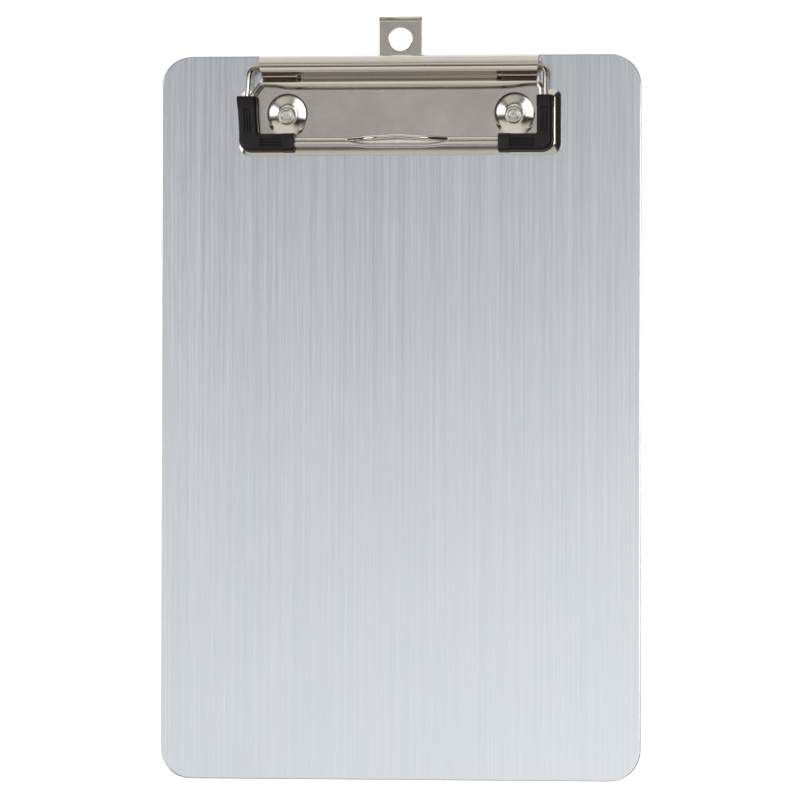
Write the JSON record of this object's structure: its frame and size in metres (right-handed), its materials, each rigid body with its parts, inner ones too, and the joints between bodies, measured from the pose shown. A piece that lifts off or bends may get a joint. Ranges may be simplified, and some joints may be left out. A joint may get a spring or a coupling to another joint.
{
  "type": "flat clipboard",
  "caption": "Flat memo-size aluminium clipboard with a low wire-bail clip, rubber corner grips and a pull-out hanging tab.",
  "frame": {"origin": "centre of the board's back face", "axes": "+X to the right, +Y along the board towards the clip and hanging tab, +Z out of the front face"},
  "size_m": [0.1524, 0.2406, 0.0115],
  "materials": {
    "board_aluminium": "satin, fine brushed grain along the board's length",
    "plated_steel": "smooth nickel plating, semi-bright, slightly warm grey",
    "plated_wire": "bright nickel plating",
    "rivet_steel": "bright nickel plating",
    "black_rubber": "moulded, satin black, grooved"
  },
  "bodies": {
    "base": {"board": "board_aluminium", "base_plate": "plated_steel", "rivet_left": "rivet_steel", "rivet_right": "rivet_steel"},
    "bail": {"outer_wire": "plated_wire", "inner_wire": "plated_wire", "corner_grip_left": "black_rubber", "corner_grip_right": "black_rubber"},
    "tab": {"hanging_tab": "plated_steel"}
  },
  "joints": [
    {"name": "bail_hinge", "type": "hinge", "parent": "base", "child": "bail", "pos_m": [0, 0.1101, 0.007], "axis": [-1, 0, 0], "range_deg": [0, 80], "stiffness_Nm_per_rad": 0.1, "springref_deg": -85.94, "deforming": ["inner_wire"]},
    {"name": "tab_slide", "type": "slide", "parent": "base", "child": "tab", "axis": [0, -1, 0], "range_m": [0, 0.0105]}
  ]
}
